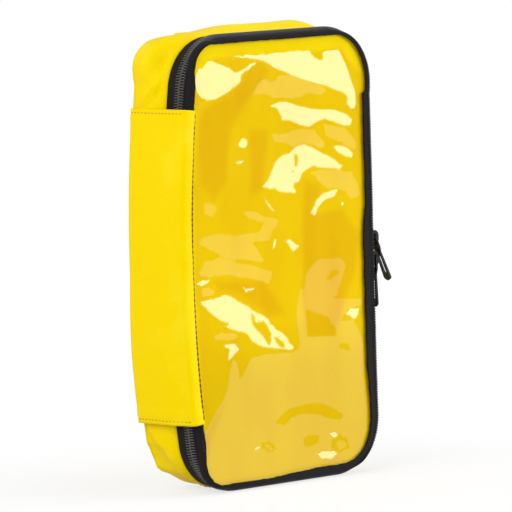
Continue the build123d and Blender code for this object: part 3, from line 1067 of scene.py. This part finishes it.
def spine_push(along, across):
    """The hems stand proud, and the panel is not quite flat."""
    from_end = from_ends(along)
    hem = 0.2 * (1 - smooth_step(from_end, 6.5, 9.0))
    stitch = 0.22 * np.exp(-((from_end - hem_stitch) / 0.7) ** 2)
    in_middle = smooth_step(across, 8, 22) * (1 - smooth_step(across, 44, 50))
    slack = spine_slack * smooth_step(-along, 0, 50) * in_middle
    return hem - stitch + slack + 0.25 * ripple(along, across, 40, 31) + 0.08 * ripple(along, across, 9, 32)


def bend_at_hinge(piece):
    """Bakes a piece's place into its points."""
    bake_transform(piece)


spine = wrap("spine_cloth", spine_start, spine_end, spine_profile, tarpaulin, 1.2, spine_push)
thicken(spine, shell_thickness)
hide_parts("spine_panel", "spine_flap")
bend_at_hinge(spine)
print("spine", len(spine.data.vertices), "points")

# %% [markdown]
# ## Back
# The rear wall is plain tarpaulin over the back padding, slightly crowned, with the seam to the
# gusset round it.

# %% Back
def back_inset(places):
    """The back reaches the gusset's rear edge, and the spine on the left."""
    return -0.2 - 1.6 * np.clip(-rim(places)[2], 0, 1) ** 4 - rear_swell(places)


def back_lift(x, z):
    """Crown and creases of the back, measured towards the front."""
    return -(puff(x, z, 0.7) + 0.3 * ripple(x, z, 40, 41) * puff(x, z, 1.0) + 0.05 * ripple(x, z, 9, 42))


back = fill("back_cloth", back_inset, 39.8, tarpaulin, 60, 110, back_lift, arched=True)
face_out(back, (0, 1, 0))
thicken(back, panel_thickness)
dress(back, "body", "back_panel", "tarpaulin", flat=(0.141, 0.236), area=0.0325, rests_on=["gusset_cloth"])
print("back made")

# %% [markdown]
# ## Inside
# Nothing of the inside shows in the photograph, so it is what such a case has: padding under a
# black nylon lining, bound edges, and elastic bands sewn down between their loops.

# %% Padding and linings
lid_inside = 4.8
back_inside = 34.5


def even_inset(amount, body):
    """An inset that is the same all round, but larger where the body is drawn up or in."""
    share = 1 if body == "body" else 0

    def inset(places):
        x, z, normal_x, normal_z = rim(places)
        return amount + share * (drawn_up(normal_z) + 1.5 * drawn_in(normal_x, normal_z))

    return inset


def make_pad(name, node, body, inset, depth, thickness):
    """A foam board with rounded edges."""
    piece = fill(name, even_inset(inset, body), depth, foam, 36, 60, lambda x, z: 0.1 * ripple(x, z, 30, 51))
    face_out(piece, (0, -1, 0))
    thicken(piece, thickness, 0.0)
    rounding = piece.modifiers.new("rounding", "BEVEL")
    rounding.width = 1.0 * MM
    rounding.segments = 2
    rounding.angle_limit = math.radians(50)
    dress(piece, body, node, "foam")


def make_lining(name, node, body, inset, depth, facing, pad):
    """A lining with a soft surface."""
    piece = fill(name, even_inset(inset, body), depth, lining, 50, 90,
                 lambda x, z: 0.12 * ripple(x, z, 26, 52) + 0.06 * ripple(x, z, 8, 53))
    face_out(piece, (0, facing, 0))
    thicken(piece, 0.5)
    dress(piece, body, node, "lining", flat=(0.134, 0.23), area=0.0295, rests_on=[pad])


make_pad("lid_pad", "lid_foam", "lid", 9.5, 2.5, 3.0)
make_pad("back_pad", "back_foam", "body", 2.0, 37.2, 3.6)
make_lining("lid_lining_cloth", "lid_lining", "lid", 4.0, lid_inside, 1, "lid_pad")
make_lining("back_lining_cloth", "back_lining", "body", 1.4, back_inside, -1, "back_pad")
print("padding and linings made")

# %% Bindings
def make_binding(name, node, body, inset, depth, way):
    """Ribbed tape over the edge of a lining."""

    def follow_lining(along, growth, depth):
        return growth - (even_inset(inset, body)(along) - inset)

    profile = [(-inset, depth), (-inset - 0.2, depth + 0.5 * way), (-inset - 2.4, depth + 0.6 * way),
               (-inset - 4.5, depth + 0.3 * way)]
    piece = wrap(name, 0, rim_length, softened(profile, 0.6, 1), seam_binding, 2.0,
                 lambda along, across: 0.06 * ripple(along, across, 5, 61), follow_lining, closed=True)
    thicken(piece, 0.35)
    face_out(piece, (0, way, 0))
    dress(piece, body, node, "seam_binding")


def spine_lining_push(along, across):
    """The lining of the spine lies over the ends of the gusset."""
    over_gusset = 3.0 * (1 - smooth_step(from_ends(along), 16, 20))
    return 0.05 * ripple(along, across, 12, 62) - over_gusset


make_binding("lid_binding_tape", "lid_seam_binding", "lid", 4.0, lid_inside, 1)
make_binding("back_binding_tape", "back_seam_binding", "body", 1.2, back_inside, -1)
spine_inside = wrap("spine_lining_cloth", spine_start + 10.5, spine_end - 10.5,
                    softened([(1.7, 7.6), (1.75, 20), (1.7, 39.0)], 1.5, 0), lining, 1.5, spine_lining_push)
thicken(spine_inside, 0.5)
dress(spine_inside, "body", "spine_lining", "lining", flat=(0.0315, 0.143), rests_on=["spine_cloth"])
print("bindings made")

# %% Elastic bands
band_half_width = 12


def band_path(bore, count, pitch, tab=6.0, thickness=0.8):
    """Line of an elastic band over its loops, as places across and heights off the lining."""
    radius = bore / 2 + thickness / 2
    half = (count - 1) * pitch / 2
    path = [(-half - radius - tab, thickness / 2)]
    for index in range(count):
        centre = -half + index * pitch
        path.append((centre - radius - 0.5, thickness / 2))
        path.append((centre - radius, thickness / 2 + 0.6))
        for angle in np.linspace(math.pi, 0, 13):
            path.append((centre + radius * math.cos(angle), bore / 2 + radius * math.sin(angle)))
        path.append((centre + radius, thickness / 2 + 0.6))
        path.append((centre + radius + 0.5, thickness / 2))
    path.append((half + radius + tab, thickness / 2))
    return np.array(path)


def make_band(half, row, body, path, height, base_depth, way):
    """An elastic band: way is 1 on the lid, whose loops stand to the back, and -1 on the back."""
    run = run_along(path)
    across, along = np.meshgrid(np.linspace(-band_half_width, band_half_width, 13), run)
    lift = path[:, 1][:, None]
    pinch = 0.25 * (np.abs(across) / band_half_width) ** 3 * (lift > 1.5)
    stand = lift - pinch + 0.05 * ripple(along, across, 6, 71)
    x = np.broadcast_to(path[:, 0][:, None], across.shape)
    points = np.stack([x, front + base_depth + way * stand, height + across], axis=-1)
    piece = add_mesh(half + "_band_" + row, points, grid_faces(*across.shape), elastic)
    set_weave(piece, across, along)
    face_out(piece, (0, way, 0))
    thicken(piece, 0.7, 0.0)
    dress(piece, body, half + "_elastic_" + row, "elastic", flat=(0.024, run[-1] * MM),
          rests_on=[half + "_lining_cloth"])


lid_path = band_path(11.5, 6, 18.0)
back_path = band_path(15.0, 5, 21.0)
for row, height in (("lower", 50), ("middle", 120), ("upper", 190)):
    make_band("lid", row, "lid", lid_path, height, lid_inside, 1)
for row, height in (("lower", 75), ("upper", 165)):
    make_band("back", row, "body", back_path, height, back_inside, -1)
print("bands made")

# %% [markdown]
# ## Sliders and pulls
# The sliders are cast zinc with satin black paint. Their CAD shapes are right, so they stay and only
# get the painted finish and softened edges.

# %% Sliders and pulls
for name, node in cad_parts.items():
    if name.startswith("slider_"):
        node.data.materials.clear()
        node.data.materials.append(slider_metal)
        softening = node.modifiers.new("softened_edges", "BEVEL")
        softening.width = 0.25 * MM
        softening.segments = 2
        softening.limit_method = "ANGLE"
print("sliders painted")

# %% [markdown]
# ## Stitches
# Sewing shows as short raised dashes in a shallow groove. Each stitch is a small arched tube that
# dips into the cloth at both ends.

# %% Stitches along a line
def sew(name, path, outward, material, length=2.6, gap=0.9, radius=0.17):
    """Stitches along a path of points, raised along the outward directions."""
    run = run_along(path)
    arch = np.array([-0.25, 0.12, 0.2, 0.2, 0.12, -0.25])
    points = []
    faces = []
    for start in np.arange(gap, run[-1] - length, length + gap):
        wanted = start + np.linspace(0, length, len(arch))
        raised = points_at(wanted, run, outward) * arch[:, None]
        some, sides = tube(points_at(wanted, run, path) + raised, radius, 5)
        faces += [tuple(corner + len(points) * len(some) for corner in face) for face in sides]
        points.append(some)
    return add_mesh(name, np.concatenate(points), faces, material)


def row_places(start, end):
    """Places along the rim for a row of stitches."""
    return np.linspace(start, end, int((end - start) / 1.5))


def outward_at(places):
    """Directions away from the rim."""
    x, z, normal_x, normal_z = rim(places)
    return np.stack([normal_x, 0 * x, normal_z], axis=-1)


# %% Rows of stitching
gusset_places = row_places(zip_start, zip_end)
gusset_row = off_rim(gusset_places, 1.97 - gusset_lift(gusset_places, 18.7), 18.7)
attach(sew("gusset_stitches", gusset_row, outward_at(gusset_places), yellow_thread, radius=0.13), "body")

# Dark brown edge stitching, thick and close, that is also painted shadow in the gap between the spine's edge
# and the film.
edge_row = off_rim(row_places(spine_start + 2, spine_end - 2), -2.95, -1.35)
to_front = np.broadcast_to((0.0, -1.0, 0.0), edge_row.shape)
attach(sew("spine_edge_stitches_and_shadow_line", edge_row, to_front, brown_thread_and_shadow_line, 2.4, 0.4, 0.42), "lid")


def sew_hem(name, place):
    """Stitches across the spine panel near one of its ends."""
    growth, depth = spine_profile[(spine_profile[:, 1] > -0.2) & (spine_profile[:, 1] < 39.5)].T
    places = np.full_like(depth, place)
    slack = spine_slack * (place < 0) * smooth_step(depth, 4, 18)
    row = off_rim(places, growth + 0.95 + slack, depth)
    bend_at_hinge(sew(name, row, outward_at(places), ochre_thread, 1.5, 1.1, 0.2))


sew_hem("spine_stitches_lower", spine_start + hem_stitch)
sew_hem("spine_stitches_upper", spine_end - hem_stitch)
print("stitches made")

# %% [markdown]
# ## Studio
# The photograph is a plain studio picture on white. A low, wide softbox to the right front gives
# the film its brightest patches, and a large one on the left lights the spine. The film's paler
# places show the white room, and its deepest ones a black card on the floor. The white behind the
# case comes from the colour of the room and of the floor, not from more light.

# %% Room and floor
class Room(Finish):
    """The room round the case, made of nodes in the same way as a finish."""

    def __init__(self, name):
        world = bpy.data.worlds.new(name)
        world.use_nodes = True
        bpy.context.scene.world = world
        self.tree = world.node_tree
        self.tree.nodes.remove(self.tree.nodes["Background"])


white_paper = (1, 1, 1, 1)
room = Room("room")
fill_light, white = (room.node("ShaderNodeBackground", {}, {"Color": white_paper, "Strength": strength})
                     for strength in (0.55, 1.0))
room.show(room.node("ShaderNodeMixShader", {}, {0: room.seen(), 1: fill_light, 2: white}), "World Output")


def make_floor():
    """Pale floor that keeps the shadow of the case."""
    finish = Finish("studio_floor", Roughness=0.9, Specular_IOR_Level=0.0)
    seen = finish.seen()
    finish.set("Base Color", finish.between(seen, (0.7, 0.7, 0.7, 1), white_paper))
    distance = finish.node("ShaderNodeVectorMath", {"operation": "LENGTH"}, {0: finish.place()}, output=1)
    far_away = (0.72 + 0.28 * finish.step_at(distance, 0.08, 0.24)) * seen
    paper = finish.node("ShaderNodeEmission", {}, {"Color": white_paper, "Strength": 1.0})
    finish.show(finish.node("ShaderNodeMixShader", {}, {0: far_away, 1: finish.shaded(), 2: paper}))
    half = 9000
    corners = [(-half, -half, 0), (half, -half, 0), (half, half, 0), (-half, half, 0)]
    add_mesh("floor", corners, [(0, 1, 2, 3)], finish.material, smooth=False)


def make_black_card(near, far, half_width, azimuth):
    """Black card on the floor under the right softbox, which only reflections show. In metres."""
    finish = Finish("black_card", Roughness=1.0, Specular_IOR_Level=0.0)
    finish.set("Base Color", (0.01, 0.01, 0.01, 1))
    turn = math.radians(azimuth)
    out = np.array((math.sin(turn), -math.cos(turn), 0)) / MM
    side = np.array((math.cos(turn), math.sin(turn), 0)) / MM
    raised = np.array((0, 0, 0.5))
    corners = [out * reach + side * half + raised for reach, half in
               ((near, -half_width), (near, half_width), (far, half_width), (far, -half_width))]
    card = add_mesh("black_card", corners, [(0, 1, 2, 3)], finish.material, smooth=False)
    card.visible_camera = False


make_floor()
make_black_card(near=0.25, far=3.4, half_width=1.0, azimuth=46)
print("room, floor and card made")

# %% Lamps
def add_softbox(name, azimuth, elevation, distance, width, height, radiance):
    """An area lamp that faces the case. Azimuth 0 is straight in front, and 90 to the right."""
    turn, rise = math.radians(azimuth), math.radians(elevation)
    direction = Vector((math.sin(turn) * math.cos(rise), -math.cos(turn) * math.cos(rise), math.sin(rise)))
    lamp = bpy.data.lights.new(name, "AREA")
    lamp.shape = "RECTANGLE"
    lamp.size = width
    lamp.size_y = height
    lamp.energy = radiance * math.pi * width * height
    holder = bpy.data.objects.new(name, lamp)
    holder.location = Vector((0, 0, 0.12)) + direction * distance
    holder.rotation_mode = "QUATERNION"
    holder.rotation_quaternion = direction.to_track_quat("Z", "Y")
    bpy.context.scene.collection.objects.link(holder)
    print(name, "power", round(lamp.energy, 1))


add_softbox("right_softbox", azimuth=46, elevation=14.3, distance=2.2, width=1.95, height=0.95, radiance=6.5)
add_softbox("left_softbox", azimuth=-80, elevation=30, distance=2.2, width=1.6, height=1.4, radiance=3.2)
bpy.context.scene.view_settings.view_transform = "Standard"
